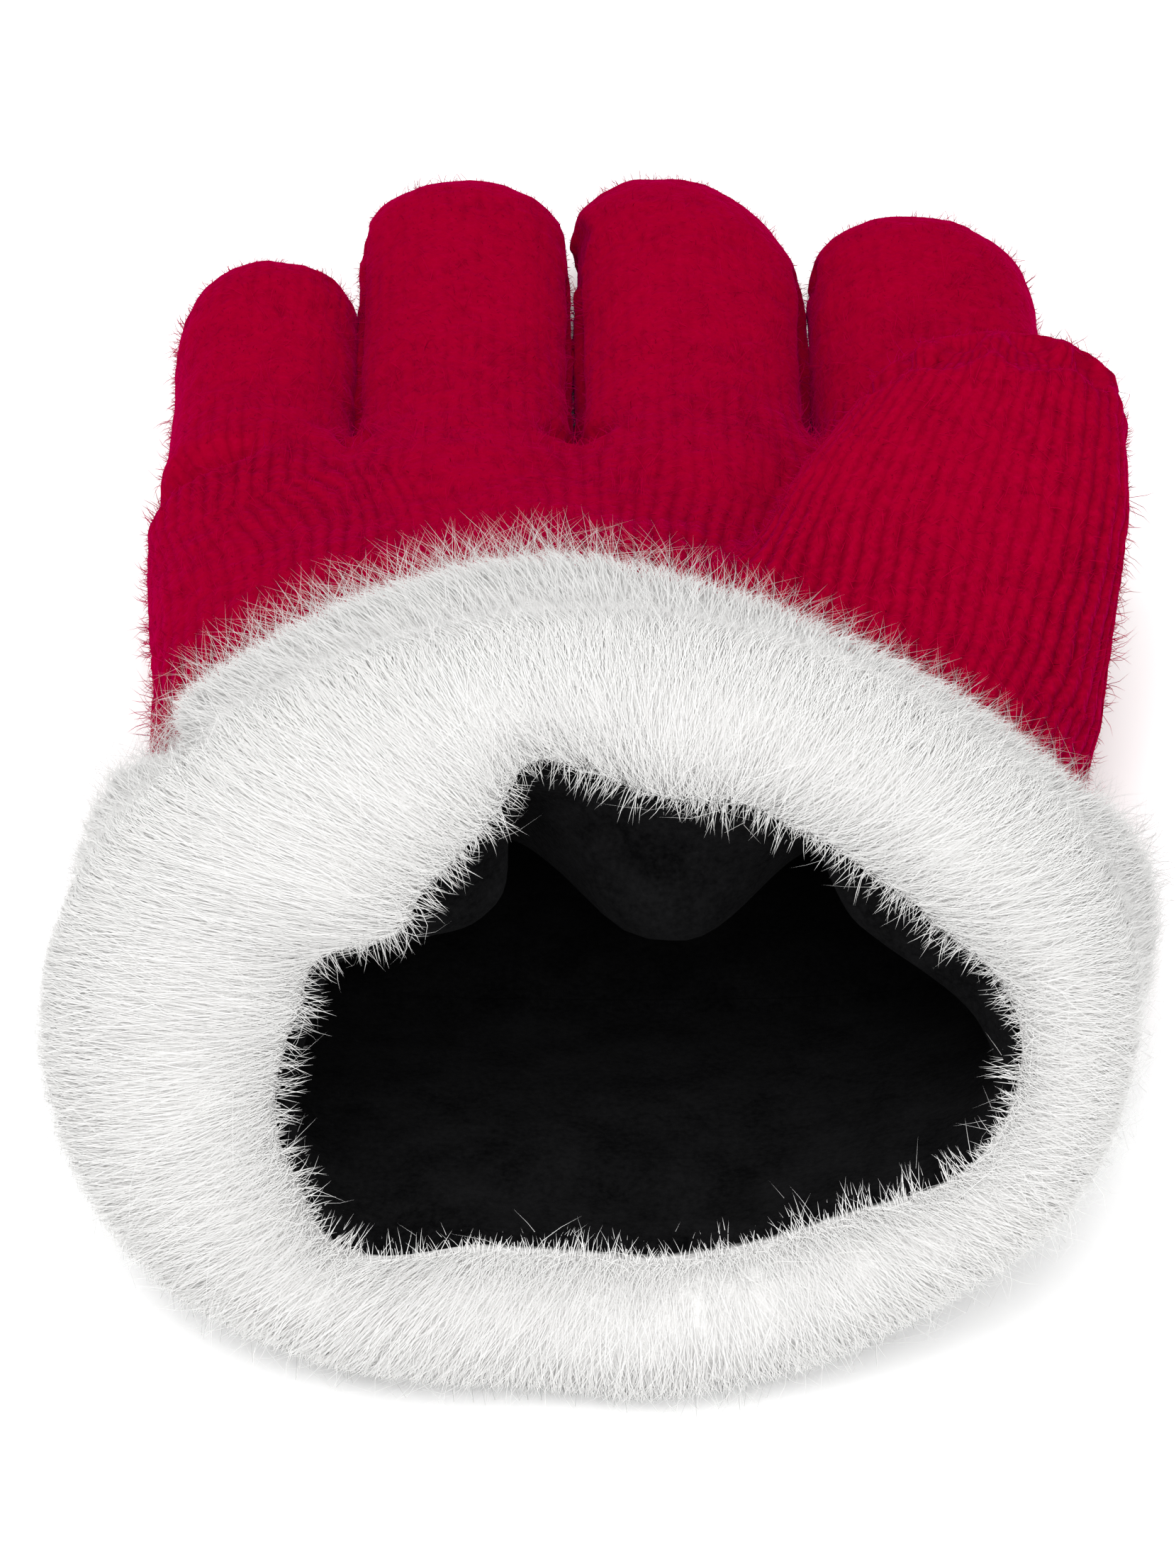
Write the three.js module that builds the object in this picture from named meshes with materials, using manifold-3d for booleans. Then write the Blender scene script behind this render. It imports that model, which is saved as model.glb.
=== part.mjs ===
// A lined winter glove for a right hand, lying palm up with its wide fur cuff propped open.
//
// Millimetres, +Z up. The fingers point to +Y and the mouth of the cuff opens to -Y. The origin is on the
// surface that the glove lies on, under the middle of the whole glove.
//
// Three pieces, as the real glove is sewn: a knitted hand (palm, four fingers and thumb in one), a fleece
// lining with the same stalls that runs out to the mouth, and a deep-pile fur cuff around the wrist.
import * as THREE from 'three';
import { mergeVertices } from 'three/addons/utils/BufferGeometryUtils.js';
import Module from 'manifold-3d';

const wasm = await Module();
wasm.setup();

// Cloth thicknesses, each a wall's whole thickness.
const KNIT_WALL = 2.6;
const FLEECE_WALL = 1.5;
const GAP = 0.3; // air between two pieces that touch on the real glove
const SPARE = 1.2; // what is made too thick before a hollow is cut, so that the cut is clean
const FLEECE_OUTSIDE = KNIT_WALL + GAP; // how far the fleece's outer face lies inside the knit's outer face
const FLEECE_INSIDE = FLEECE_OUTSIDE + FLEECE_WALL;

// The tables below are drawn from the middle of the palm; this puts the whole glove over its own middle.
const MIDDLE = { x: -3.2, y: 1.3 };

// How many points go round each kind of section.
const PALM_POINTS = 24;
const FINGER_POINTS = 12;
const SLEEVE_POINTS = 32;

// The palm's sections from inside the cuff to the forks: middle, half width, height above the middle, depth
// below it, and how far the thumb's side is pressed down by the thumb, as a share of the way out.
const PALM = [
  { y: -50, x: 4.0, z: 19, half: 54.0, up: 19.0, down: 15.8, pressed: 0 },
  { y: -30, x: 3.8, z: 19, half: 55.5, up: 19.0, down: 16.0, pressed: 0 },
  { y: -12, x: 3.4, z: 19, half: 56.5, up: 18.0, down: 18.0, pressed: 0.06 },
  { y: 6, x: 3.2, z: 18, half: 57.2, up: 15.5, down: 18.5, pressed: 0.16 },
  { y: 24, x: 3.2, z: 14, half: 57.4, up: 13.5, down: 15.5, pressed: 0.13 },
  { y: 38, x: 3.2, z: 11.5, half: 56.8, up: 10.5, down: 13.0, pressed: 0.04 },
  { y: 46, x: 3.2, z: 10.5, half: 55.0, up: 8.0, down: 11.5, pressed: 0 },
  { y: 50, x: 3.2, z: 10, half: 50.0, up: 4.0, down: 7.5, pressed: 0 },
];
const PALM_SQUARENESS = 2.7;

// The fingers: middle of the root, of the shoulder where the end starts to round, and of the tip; the tip's
// reach, half width, and height.
const FINGERS = [
  { name: 'little', rootX: -42.5, shoulderX: -42.6, tipX: -42.0, tipY: 92.8, half: 11.8, high: 21.5 },
  { name: 'ring', rootX: -16.1, shoulderX: -16.6, tipX: -17.4, tipY: 110.0, half: 13.8, high: 22.5 },
  { name: 'middle', rootX: 14.1, shoulderX: 13.4, tipX: 9.5, tipY: 112.0, half: 14.9, high: 22.5 },
  { name: 'index', rootX: 45.2, shoulderX: 45.0, tipX: 43.6, tipY: 102.6, half: 14.7, high: 22.0 },
];
const FINGER_RINGS = [
  { name: 'root', y: 18, size: 0.62 }, // inside the palm
  { name: 'fork', y: 42, size: 1.0 },
];
const FINGER_TIP_LENGTH = 14.5; // the rounded end
const FINGER_SQUARENESS = 2.3;

// The thumb's sections, from inside the palm to its shoulder. It rises and lies over the edge of the palm.
const THUMB = [
  { y: -34, x: 34.0, z: 22.0, half: 14.0, high: 25 },
  { y: -16, x: 38.6, z: 23.0, half: 21.5, high: 27 },
  { y: 0, x: 41.3, z: 28.0, half: 23.6, high: 25 },
  { y: 13, x: 45.4, z: 33.0, half: 21.4, high: 21.5 },
  { y: 25, x: 49.8, z: 35.2, half: 17.0, high: 20 },
];
const THUMB_TIP = { x: 51.8, y: 37.5, z: 36.0 };

// The mouth of the cuff: the middle of its opening, how far it leans back from upright, and its outline by
// the clock, in degrees from the thumb side over the top: reach of the opening and of the rolled fur.
const MOUTH = { x: 7.8, y: -85.4, z: 37.1, lean: 33 };
const MOUTH_OUTLINE = [
  { clock: 0, opening: 39.0, roll: 52.5 },
  { clock: 22.5, opening: 33.5, roll: 51.5 },
  { clock: 45, opening: 29.5, roll: 47.0 },
  { clock: 67.5, opening: 27.5, roll: 44.5 },
  { clock: 90, opening: 26.0, roll: 44.5 },
  { clock: 112.5, opening: 31.0, roll: 47.0 },
  { clock: 135, opening: 29.0, roll: 53.0 },
  { clock: 157.5, opening: 32.0, roll: 60.0 },
  { clock: 180, opening: 40.0, roll: 65.0 },
  { clock: 202.5, opening: 43.0, roll: 60.5 },
  { clock: 225, opening: 33.5, roll: 52.0 },
  { clock: 247.5, opening: 26.5, roll: 44.5 },
  { clock: 270, opening: 25.0, roll: 42.0 },
  { clock: 292.5, opening: 26.0, roll: 42.0 },
  { clock: 315, opening: 29.5, roll: 44.5 },
  { clock: 337.5, opening: 38.0, roll: 50.5 },
];
const LIP_DEPTH = 10.5; // how far the rolled lip stands out in front of the mouth's plane

// The coat's face runs from -1 at the opening over 0 at the crest of the roll to 1 at the hem. Behind the
// crest two puffed bands meet in a crease; proud is how far each stands off a straight line to the hem.
const LIP_WAYS = [-1, -0.75, -0.5, -0.25];
const BANDS = [
  { name: 'crest', way: 0, proud: 0 },
  { name: 'near band', way: 0.13, proud: 0.5 },
  { name: 'near slope', way: 0.26, proud: -1.0 },
  { name: 'crease', way: 0.36, proud: -4.0 },
  { name: 'far rise', way: 0.46, proud: -0.5 },
  { name: 'far band', way: 0.66, proud: 2.5 },
  { name: 'far slope', way: 0.86, proud: 1.5 },
  { name: 'hem', way: 1.0, proud: -1.5 },
];
// The hem laps over the knit. It runs nearest the fingers on top and falls back on both sides.
const HEM = { y: -13, x: 4.2, z: 20, half: 60.5, up: 23.0, down: 20.0, backLeft: 9, backRight: 22 };
const KNIT_END_Y = PALM[0].y; // the knit's raw edge, covered by the cuff

// The side seam of the cuff, where the pile parts: its place by the clock, width and depth.
const SIDE_SEAM = { clock: 152, spread: 9, depth: 3.0 };

// Where the loose fleece sags into the sleeve: place by the clock, width, depth, and where it is deepest on
// the way from the mouth to the wrist.
const SAGS = [
  { name: 'top', clock: 78, spread: 34, depth: 14.0, deepest: 0.42 },
  { name: 'left', clock: 138, spread: 26, depth: 6.0, deepest: 0.4 },
  { name: 'right', clock: 20, spread: 30, depth: 7.0, deepest: 0.35 },
];
const SLEEVE_STEPS = [0.03, 0.2, 0.42, 0.68, 1.0];

// Locks of pile fused to the cuff in rows round it: the way where a row is rooted and where its points end,
// how many locks, and how far a lock's ridge and its point stand off the coat.
const LOCK_ROWS = [
  { name: 'into the mouth', way: -0.66, end: -0.97, count: 20, ridge: 1.6, point: 1.2 },
  { name: 'lip', way: -0.56, end: -0.22, count: 18, ridge: 2.2, point: 2.0 },
  { name: 'crest', way: -0.26, end: 0.07, count: 20, ridge: 2.0, point: 2.6 },
  { name: 'near slope', way: 0.07, end: 0.27, count: 18, ridge: 1.8, point: 1.8 },
  { name: 'far rise', way: 0.42, end: 0.6, count: 18, ridge: 1.8, point: 2.2 },
  { name: 'far band', way: 0.62, end: 0.82, count: 18, ridge: 1.8, point: 2.0 },
  { name: 'over the knit', way: 0.84, end: 1.04, count: 22, ridge: 1.6, point: 0.8 },
];
const LOCK_ROOT = 3.0; // how deep a lock is rooted
const LOCK_WIDEST = 0.45; // where along its length a lock is widest
const LOCK_LAP = 1.15; // how wide a lock is, as a share of its place in the row
const LOCK_CLEARANCE = 5.0; // no lock starts nearer than this to the surface that the cuff lies on

const radians = (degrees) => (degrees * Math.PI) / 180;
const mix = (a, b, share) => a + (b - a) * share;
const power = (value, exponent) => Math.sign(value) * Math.abs(value) ** exponent;
const clocks = (count, first = 0) => Array.from({ length: count }, (_, k) => (360 * (k + first)) / count);

// 1 at the middle of a bump, falling smoothly to 0 at its spread on both sides.
function bump(distance, spread) {
  const share = Math.min(1, Math.abs(distance) / spread);
  return (1 + Math.cos(Math.PI * share)) / 2;
}

function clockDistance(a, b) {
  return ((a - b + 540) % 360) - 180;
}

// A column of the mouth's outline at any clock angle, on a smooth closed curve through its rows.
function reachAt(column, clock) {
  const rows = MOUTH_OUTLINE.length;
  const place = (((clock % 360) + 360) % 360) / (360 / rows);
  const first = Math.floor(place);
  const share = place - first;
  const [before, from, to, after] = [-1, 0, 1, 2].map((k) => MOUTH_OUTLINE[(first + k + rows) % rows][column]);
  const slopeFrom = (to - before) / 2;
  const slopeTo = (after - from) / 2;
  return (
    from * (1 + 2 * share) * (1 - share) ** 2 +
    slopeFrom * share * (1 - share) ** 2 +
    to * share ** 2 * (3 - 2 * share) -
    slopeTo * share ** 2 * (1 - share)
  );
}

// A point on a rounded oblong across the glove, taken in by inset and flat where it would sink below z = 0.
function ovalPoint({ x, y, z, half, up, down, pressed = 0 }, squareness, inset, clock) {
  const [across, rise] = [Math.cos(radians(clock)), Math.sin(radians(clock))];
  const side = power(across, 2 / squareness) * (half - inset);
  const height = power(rise, 2 / squareness) * ((rise > 0 ? up : down) - inset);
  const sunk = pressed * Math.max(side, 0) * Math.max(rise, 0);
  return new THREE.Vector3(x + side, y, Math.max(z + height - sunk, inset));
}

function oval(section, squareness, inset, count) {
  return clocks(count).map((clock) => ovalPoint(section, squareness, inset, clock));
}

function solidFrom(points, triangles) {
  const geometry = new THREE.BufferGeometry().setFromPoints(points);
  geometry.setIndex(triangles);
  const merged = mergeVertices(geometry, 1e-4);
  const vertProperties = new Float32Array(merged.attributes.position.array);
  return new wasm.Manifold(
    new wasm.Mesh({ numProp: 3, vertProperties, triVerts: new Uint32Array(merged.index.array) }),
  );
}

// Two triangles for each step round two neighbouring loops. Each loop runs from +X over +Z, and the loops
// follow each other towards +Y.
function wallBetween(triangles, near, far, count) {
  for (let k = 0; k < count; k += 1) {
    const next = (k + 1) % count;
    triangles.push(near + k, far + k, near + next, near + next, far + k, far + next);
  }
}

// A solid through loops of equal count, with a flat end on the first and the last.
function lofted(loops) {
  const count = loops[0].length;
  const points = loops.flat();
  const triangles = [];
  for (let row = 0; row + 1 < loops.length; row += 1) {
    wallBetween(triangles, row * count, (row + 1) * count, count);
  }
  for (const [loop, facesBack] of [[0, true], [loops.length - 1, false]]) {
    const middle = loops[loop].reduce((sum, p) => sum.add(p), new THREE.Vector3()).divideScalar(count);
    const hub = points.push(middle) - 1;
    for (let k = 0; k < count; k += 1) {
      const [a, b] = [loop * count + k, loop * count + ((k + 1) % count)];
      triangles.push(...(facesBack ? [hub, a, b] : [hub, b, a]));
    }
  }
  return solidFrom(points, triangles);
}

// A hollow band through loops that come back to the first, as a ring is closed.
function banded(loops) {
  const count = loops[0].length;
  const triangles = [];
  loops.forEach((_, row) => wallBetween(triangles, row * count, ((row + 1) % loops.length) * count, count));
  return solidFrom(loops.flat(), triangles);
}

// The palm's form, with every face taken in by inset; its open end is drawn out to startY.
function palmForm(inset, startY) {
  const [wrist, ...rest] = PALM;
  const end = PALM[PALM.length - 1];
  return lofted([{ ...wrist, y: startY }, ...rest].map((row) => {
    const y = row.y > end.y - 2 * inset ? row.y - inset : row.y;
    return oval({ ...row, y }, PALM_SQUARENESS, inset, PALM_POINTS);
  }));
}

// The round end of a finger or thumb: the shares of its length and of its width at each ring.
const TIP_RINGS = [26, 50, 72].map((degrees) => ({
  reach: Math.sin(radians(degrees)),
  size: Math.cos(radians(degrees)) ** 0.9,
}));

function fingerForm({ rootX, shoulderX, tipX, tipY, half, high }, inset) {
  const shoulderY = tipY - FINGER_TIP_LENGTH;
  const ring = (y, x, size) => oval({
    x,
    y,
    z: high * 0.48,
    half: (half - inset) * size + inset,
    up: (high * 0.52 - inset) * size + inset,
    down: (high * 0.56 - inset) * size + inset,
  }, FINGER_SQUARENESS, inset, FINGER_POINTS);
  return lofted([
    ...FINGER_RINGS.map(({ y, size }) => ring(y, rootX, size)),
    ring(shoulderY, shoulderX, 1),
    ...TIP_RINGS.map(({ reach, size }) => (
      ring(shoulderY + (FINGER_TIP_LENGTH - inset) * reach, mix(shoulderX, tipX, reach), size))),
  ]);
}

function thumbForm(inset) {
  const ring = ({ x, y, z, half, high }, size) => oval({
    x,
    y,
    z,
    half: (half - inset) * size + inset,
    up: (high / 2 - inset) * size + inset,
    down: (high / 2 - inset) * size + inset,
  }, FINGER_SQUARENESS, inset, FINGER_POINTS);
  const shoulder = THUMB[THUMB.length - 1];
  const tips = TIP_RINGS.map(({ reach, size }) => ring({
    ...shoulder,
    x: mix(shoulder.x, THUMB_TIP.x, reach),
    y: shoulder.y + (THUMB_TIP.y - shoulder.y - inset) * reach,
    z: mix(shoulder.z, THUMB_TIP.z, reach),
  }, size));
  return lofted([...THUMB.map((row) => ring(row, 1)), ...tips]);
}

function handForm(inset, startY) {
  const stalls = [...FINGERS.map((finger) => fingerForm(finger, inset)), thumbForm(inset)];
  return wasm.Manifold.union([palmForm(inset, startY), ...stalls]);
}

// The mouth's leaning plane: a point at a clock angle, so far from the middle, and so far in along the cuff.
const MOUTH_UP = new THREE.Vector3(0, Math.sin(radians(MOUTH.lean)), Math.cos(radians(MOUTH.lean)));
const MOUTH_IN = new THREE.Vector3(0, Math.cos(radians(MOUTH.lean)), -Math.sin(radians(MOUTH.lean)));
function mouthPoint(clock, reach, inwards) {
  return new THREE.Vector3(MOUTH.x, MOUTH.y, MOUTH.z)
    .add(new THREE.Vector3(Math.cos(radians(clock)) * reach, 0, 0))
    .addScaledVector(MOUTH_UP, Math.sin(radians(clock)) * reach)
    .addScaledVector(MOUTH_IN, inwards);
}

// How far back the hem lies at a clock angle, and the hem itself on a section made for it.
function hemBack(clock) {
  const across = Math.cos(radians(clock));
  return across > 0 ? HEM.backRight * across ** 1.5 : HEM.backLeft * Math.abs(across) ** 1.5;
}

function proudAt(way) {
  const after = BANDS.find((row) => row.way >= way) ?? BANDS[BANDS.length - 1];
  const before = BANDS.findLast((row) => row.way <= way);
  return after.way <= before.way ? before.proud
    : mix(before.proud, after.proud, (way - before.way) / (after.way - before.way));
}

// A point on the coat's face at a clock angle and way, flat where it would sink below z = 0.
function coatPoint(clock, way) {
  const [opening, roll] = [reachAt('opening', clock), reachAt('roll', clock)];
  let point;
  if (way < 0) {
    const turn = radians(180 * way);
    const reach = (roll + opening) / 2 + (Math.cos(turn) * (roll - opening)) / 2;
    point = mouthPoint(clock, reach, Math.sin(turn) * Math.min((roll - opening) / 2, LIP_DEPTH));
  } else {
    const crest = mouthPoint(clock, roll, 0);
    const out = crest.clone().sub(mouthPoint(clock, 0, 0)).normalize();
    const hem = ovalPoint({ ...HEM, y: HEM.y - hemBack(clock) }, PALM_SQUARENESS, 0, clock);
    const seam = SIDE_SEAM.depth * bump(clockDistance(clock, SIDE_SEAM.clock), SIDE_SEAM.spread);
    point = crest.lerp(hem, way).addScaledVector(out, proudAt(way) - seam * Math.min(1, way * 8));
  }
  return point.setZ(Math.max(point.z, 0));
}

// A loop of the cuff's hollow, from the mouth to the knit's end, taken in by inset; loose cloth sags.
function sleeveLoop(along, inset, sagging) {
  const wrist = { ...PALM[0], y: KNIT_END_Y - GAP };
  return clocks(SLEEVE_POINTS).map((clock) => {
    const end = ovalPoint(wrist, PALM_SQUARENESS, KNIT_WALL + inset, clock);
    const point = mouthPoint(clock, reachAt('opening', clock) - inset, 0).lerp(end, along);
    const hub = mouthPoint(clock, 0, 0).lerp(new THREE.Vector3(wrist.x, wrist.y, wrist.z), along);
    const inwards = hub.sub(point).normalize();
    for (const { clock: place, spread, depth, deepest } of sagging ? SAGS : []) {
      const width = bump(clockDistance(clock, place), spread);
      const length = bump(along - deepest, along < deepest ? deepest : 1 - deepest);
      point.addScaledVector(inwards, depth * width * length);
    }
    return point;
  });
}

// A point lifted off the coat's face, or sunk in it, square to the face.
function offCoat(clock, way, lift) {
  const step = 0.02;
  const along = coatPoint(clock, way + step).sub(coatPoint(clock, way - step));
  const around = coatPoint(clock + 2, way).sub(coatPoint(clock - 2, way));
  const out = new THREE.Vector3().crossVectors(along, around).normalize();
  return coatPoint(clock, way).addScaledVector(out, lift);
}

// One lock: a leaf of pile with its root sunk in the coat, a ridge along its back and a lifted point.
function lock(clock, { way, end, count, ridge, point }) {
  const widest = mix(way, end, LOCK_WIDEST);
  const half = (180 / count) * LOCK_LAP;
  const corners = [
    offCoat(clock, way, -LOCK_ROOT),
    offCoat(clock, widest, ridge),
    offCoat(clock - half, widest, -LOCK_ROOT / 3),
    offCoat(clock, widest, -LOCK_ROOT),
    offCoat(clock + half, widest, -LOCK_ROOT / 3),
    offCoat(clock, end, point),
  ];
  const triangles = [0, 1, 2, 0, 2, 3, 0, 3, 4, 0, 4, 1, 5, 2, 1, 5, 3, 2, 5, 4, 3, 5, 1, 4];
  const made = solidFrom(corners, triangles);
  return made.volume() > 0 ? made : solidFrom(corners, triangles.toReversed());
}

function locks() {
  return LOCK_ROWS.flatMap((row, index) => clocks(row.count, (index % 2) / 2)
    .filter((clock) => coatPoint(clock, row.way).z > LOCK_CLEARANCE)
    .map((clock) => lock(clock, row)));
}

function furCuff() {
  const ways = [...LIP_WAYS, ...BANDS.map(({ way }) => way)];
  const outside = ways.map((way) => clocks(SLEEVE_POINTS).map((clock) => coatPoint(clock, way)));
  const knitted = (row, back) => clocks(SLEEVE_POINTS).map((clock) => (
    ovalPoint({ ...row, y: row.y - back(clock) }, PALM_SQUARENESS, SPARE, clock)));
  const held = [knitted({ ...PALM[2], y: HEM.y }, hemBack), knitted(PALM[0], () => GAP)];
  const core = SLEEVE_STEPS.toReversed().map((along) => sleeveLoop(along, SPARE, false));
  const floor = new THREE.BoxGeometry(400, 400, 50).translate(0, 0, -25);
  floor.deleteAttribute('normal').deleteAttribute('uv');
  const under = solidFrom(pointsOf(floor), Array.from(floor.index.array));
  const knit = handForm(-GAP, KNIT_END_Y - GAP);
  const hollow = lofted([-0.1, ...SLEEVE_STEPS].map((along) => sleeveLoop(along, 0, false)));
  return wasm.Manifold.union([banded([...outside, ...held, ...core]), ...locks()])
    .subtract(under)
    .subtract(knit)
    .subtract(hollow);
}

function pointsOf(geometry) {
  const place = geometry.attributes.position;
  return Array.from({ length: place.count }, (_, k) => new THREE.Vector3().fromBufferAttribute(place, k));
}

function knittedHand() {
  return handForm(0, KNIT_END_Y).subtract(handForm(KNIT_WALL, KNIT_END_Y - 1));
}

function fleeceLining() {
  const sleeve = (inset, steps) => lofted(steps.map((along) => sleeveLoop(along, inset, true)));
  const outside = handForm(FLEECE_OUTSIDE, KNIT_END_Y - GAP).add(sleeve(GAP, SLEEVE_STEPS));
  const inside = handForm(FLEECE_INSIDE, KNIT_END_Y - GAP - 0.1).add(sleeve(GAP + FLEECE_WALL, [0, ...SLEEVE_STEPS]));
  return outside.subtract(inside);
}

function mesh(name, solid, finish) {
  const { vertProperties, triVerts, numProp } = solid.getMesh();
  const geometry = new THREE.BufferGeometry();
  geometry.setAttribute('position', new THREE.Float32BufferAttribute(vertProperties, numProp));
  geometry.setIndex(Array.from(triVerts));
  geometry.computeVertexNormals();
  const made = new THREE.Mesh(geometry, new THREE.MeshStandardMaterial({ metalness: 0, ...finish }));
  made.name = name;
  return made;
}

const glove = new THREE.Group();
glove.add(
  mesh('knit_hand', knittedHand(), { color: 0x9c0024, roughness: 0.95 }),
  mesh('fleece_lining', fleeceLining(), { color: 0x101012, roughness: 1 }),
  mesh('fur_cuff', furCuff(), { color: 0xf1f0ec, roughness: 0.9 }),
);
glove.position.set(MIDDLE.x, MIDDLE.y, 0);
export default glove;
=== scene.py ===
# %% [markdown]
# # A knitted winter glove with a deep fur cuff
# The glove lies palm up with its cuff propped open, so that we look into a black fleece lining. The packed
# model gives the exact shapes. This script dresses them: ribbed and brushed knit, a fleece sleeve with its
# folds, and a cuff of long white pile. Everything is in metres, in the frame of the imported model.

# %% Loading the frame
import itertools
import math

import bmesh
import bpy
import numpy as np
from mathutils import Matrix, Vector


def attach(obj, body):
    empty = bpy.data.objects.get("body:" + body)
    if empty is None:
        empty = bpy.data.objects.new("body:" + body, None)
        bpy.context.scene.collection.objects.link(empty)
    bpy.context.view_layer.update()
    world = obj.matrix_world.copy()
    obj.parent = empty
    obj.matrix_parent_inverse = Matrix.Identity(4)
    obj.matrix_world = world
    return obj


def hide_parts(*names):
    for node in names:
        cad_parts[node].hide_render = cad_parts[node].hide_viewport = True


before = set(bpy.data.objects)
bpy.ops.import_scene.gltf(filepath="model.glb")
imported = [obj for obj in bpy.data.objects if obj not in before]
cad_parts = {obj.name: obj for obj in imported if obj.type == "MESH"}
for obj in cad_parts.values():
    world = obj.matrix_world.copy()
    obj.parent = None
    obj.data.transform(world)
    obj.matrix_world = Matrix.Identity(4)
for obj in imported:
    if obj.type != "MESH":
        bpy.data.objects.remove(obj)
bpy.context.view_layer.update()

link = bpy.context.scene.collection.objects.link

# %% [markdown]
# ## The camera
# The photograph looks down at 40 degrees from in front of the mouth, from far enough away for the near rim
# to look hardly bigger than the far one. The lens follows from the distance and the scale: 12 pixels to the
# millimetre, 0.7 m away, on a picture 2212 pixels high.

# %% Camera
PICTURE_HEIGHT = 2212
PIXELS_PER_METRE = 12000
CAMERA_DISTANCE = 0.7
CAMERA_ELEVATION = math.radians(40)
CAMERA_AIM = Vector((-0.0032, -0.0347, 0.030))
SENSOR = 36

camera_data = bpy.data.cameras.new("camera")
camera_data.sensor_width = SENSOR
camera_data.lens = SENSOR * PIXELS_PER_METRE * CAMERA_DISTANCE / PICTURE_HEIGHT
camera = bpy.data.objects.new("camera", camera_data)
camera.location = CAMERA_AIM + CAMERA_DISTANCE * Vector(
    (0, -math.cos(CAMERA_ELEVATION), math.sin(CAMERA_ELEVATION))
)
camera.rotation_euler = (math.pi / 2 - CAMERA_ELEVATION, 0, 0)
link(camera)
bpy.context.scene.camera = camera
print("lens", round(camera_data.lens, 1), "at", [round(v, 3) for v in camera.location])

# %% [markdown]
# ## The glove's measures
# These are the sizes that the model was drawn from, in millimetres, measured from the middle of the palm.
# Repeating them here lets every rib, fold and strand follow the same forms as the solids.

# %% Sizes of the hand
MIDDLE = np.array((-3.2, 1.3, 0.0))
KNIT_WALL = 2.6
PALM = {
    "y": (-50, -30, -12, 6, 24, 38, 46, 50),
    "x": (4.0, 3.8, 3.4, 3.2, 3.2, 3.2, 3.2, 3.2),
    "z": (19, 19, 19, 18, 14, 11.5, 10.5, 10),
    "half": (54.0, 55.5, 56.5, 57.2, 57.4, 56.8, 55.0, 50.0),
    "up": (19.0, 19.0, 18.0, 15.5, 13.5, 10.5, 8.0, 4.0),
    "down": (15.8, 16.0, 18.0, 18.5, 15.5, 13.0, 11.5, 7.5),
    "pressed": (0, 0, 0.06, 0.16, 0.13, 0.04, 0, 0),
}
PALM_SQUARENESS = 2.7
FINGERS = [  # little, ring, middle and index: x at three places, the y of the end, and the other sizes
    dict(root=-42.5, shoulder=-42.6, tip=-42.0, end=91.4, tip_length=14.5, half=12.2, high=21.5),
    dict(root=-16.1, shoulder=-16.6, tip=-17.4, end=109.2, tip_length=14.5, half=14.6, high=22.5),
    dict(root=14.1, shoulder=13.6, tip=8.6, end=111.7, tip_length=23.0, half=15.8, high=22.5),
    dict(root=45.2, shoulder=45.0, tip=43.0, end=101.8, tip_length=16.0, half=15.4, high=22.0),
]
FINGER_SQUARENESS = 2.3
FINGER_MIDDLE, FINGER_UP, FINGER_DOWN = 0.48, 0.52, 0.56  # as shares of a finger's height
THUMB = {
    "y": (-34, -16, 0, 13, 25, 37.5),
    "x": (34.0, 38.6, 41.3, 45.4, 49.8, 51.8),
    "z": (22.0, 23.0, 28.0, 33.2, 36.0, 37.0),
    "half": (14.0, 21.5, 23.6, 21.4, 17.0, 17.0),
    "high": (25, 27, 25, 21.5, 20, 20),
}
THUMB_SHOULDER = 25
THUMB_TIP_LENGTH = 12.5


def metres(points):
    """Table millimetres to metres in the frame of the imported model."""
    return (np.asarray(points, float) + MIDDLE) / 1000


def millimetres(points):
    return np.asarray(points, float) * 1000 - MIDDLE


def softened(at, places, values, steps=(-4, -2, 0, 2, 4)):
    """The line through places and values at any place, with its corners rounded over the steps."""
    return np.mean([np.interp(at + step, places, values) for step in steps], axis=0)


def from_rows(rows, column, y):
    """A column of a table of sections at any y."""
    return softened(y, rows["y"], rows[column])


# %% [markdown]
# ## Small tools
# A smooth noise made with numpy gives the same result on each run. The other helpers put a mesh in the
# scene, hide the CAD node that it stands for, and bake modifiers into a mesh.

# %% Noise, objects and modifiers
NOISE_CELLS = 32


def soft_noise(points, size, seed):
    """Smooth noise from -1 to 1 whose lumps are about size across."""
    lattice = np.random.default_rng(seed).random((NOISE_CELLS,) * 3) * 2 - 1
    place = points / size
    cell = np.floor(place).astype(int)
    share = place - cell
    share = share * share * (3 - 2 * share)
    total = np.zeros(len(points))
    for corner in itertools.product((0, 1), repeat=3):
        weight = np.prod(np.where(corner, share, 1 - share), axis=1)
        index = (cell + corner) % NOISE_CELLS
        total += weight * lattice[index[:, 0], index[:, 1], index[:, 2]]
    return total


def add_piece(name, mesh, node, material):
    """A mesh as a piece of the glove that stands for a CAD node."""
    piece = bpy.data.objects.new(name, mesh)
    link(piece)
    mesh.materials.clear()
    mesh.materials.append(material)
    mesh.shade_smooth()
    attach(piece, "root")
    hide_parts(node)
    mesh.calc_loop_triangles()
    print(name, len(mesh.loop_triangles), "triangles")


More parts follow.
